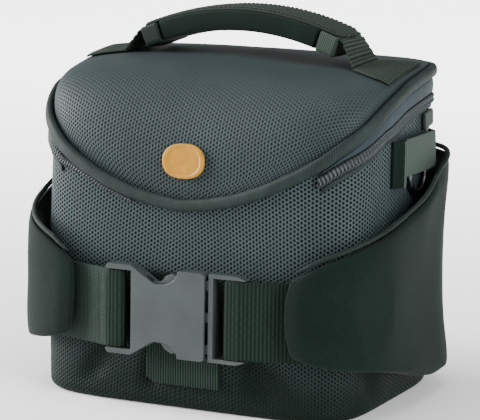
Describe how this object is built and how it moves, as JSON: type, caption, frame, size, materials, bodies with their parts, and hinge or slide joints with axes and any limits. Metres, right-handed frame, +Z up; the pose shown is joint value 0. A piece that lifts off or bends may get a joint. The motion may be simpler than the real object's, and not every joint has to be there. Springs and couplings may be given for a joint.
{
  "type": "bicycle handlebar bag",
  "caption": "Black handlebar bag with a domed zip lid, a padded carry handle, and a padded hip belt closed by a side-release buckle across its front.",
  "frame": {"origin": "middle of the flat base, on the surface the bag stands on", "axes": "+Z up, -Y the front with the buckle, +X to the right of somebody who faces the front"},
  "size_m": [0.255, 0.1713, 0.2395],
  "materials": {
    "ballistic_nylon": "coarse basket-woven nylon, slightly shiny",
    "neoprene": "smooth foam-backed knit, matt",
    "binding_tape": "close woven tape, soft sheen",
    "webbing": "ribbed nylon webbing, matt",
    "zip_coil": "moulded nylon coil, satin",
    "buckle_plastic": "moulded acetal, satin",
    "ring_metal": "black nickel, satin",
    "badge_rubber": "moulded rubber, matt"
  },
  "bodies": {
    "root": {"body_shell": "ballistic_nylon", "lid": "ballistic_nylon", "lid_binding": "binding_tape", "zip_band_left": "binding_tape", "zip_band_right": "binding_tape", "zip_coil_left": "zip_coil", "zip_coil_right": "zip_coil", "zip_tape_left": "binding_tape", "zip_tape_right": "binding_tape", "zip_end_left": "webbing", "zip_end_right": "webbing", "lid_badge": "badge_rubber", "handle_strap": "webbing", "handle_grip": "neoprene", "handle_cap": "webbing", "grip_tape_left": "binding_tape", "grip_tape_right": "binding_tape", "wing_left": "neoprene", "wing_right": "neoprene", "wing_piping_left": "binding_tape", "wing_piping_right": "binding_tape", "belt_webbing_left": "webbing", "belt_webbing_right": "webbing", "buckle_female": "buckle_plastic", "buckle_male": "buckle_plastic", "belt_patch": "webbing", "side_tab_left": "webbing", "side_tab_right": "webbing", "d_ring_left": "ring_metal", "d_ring_right": "ring_metal", "back_plate": "buckle_plastic"}
  },
  "joints": []
}
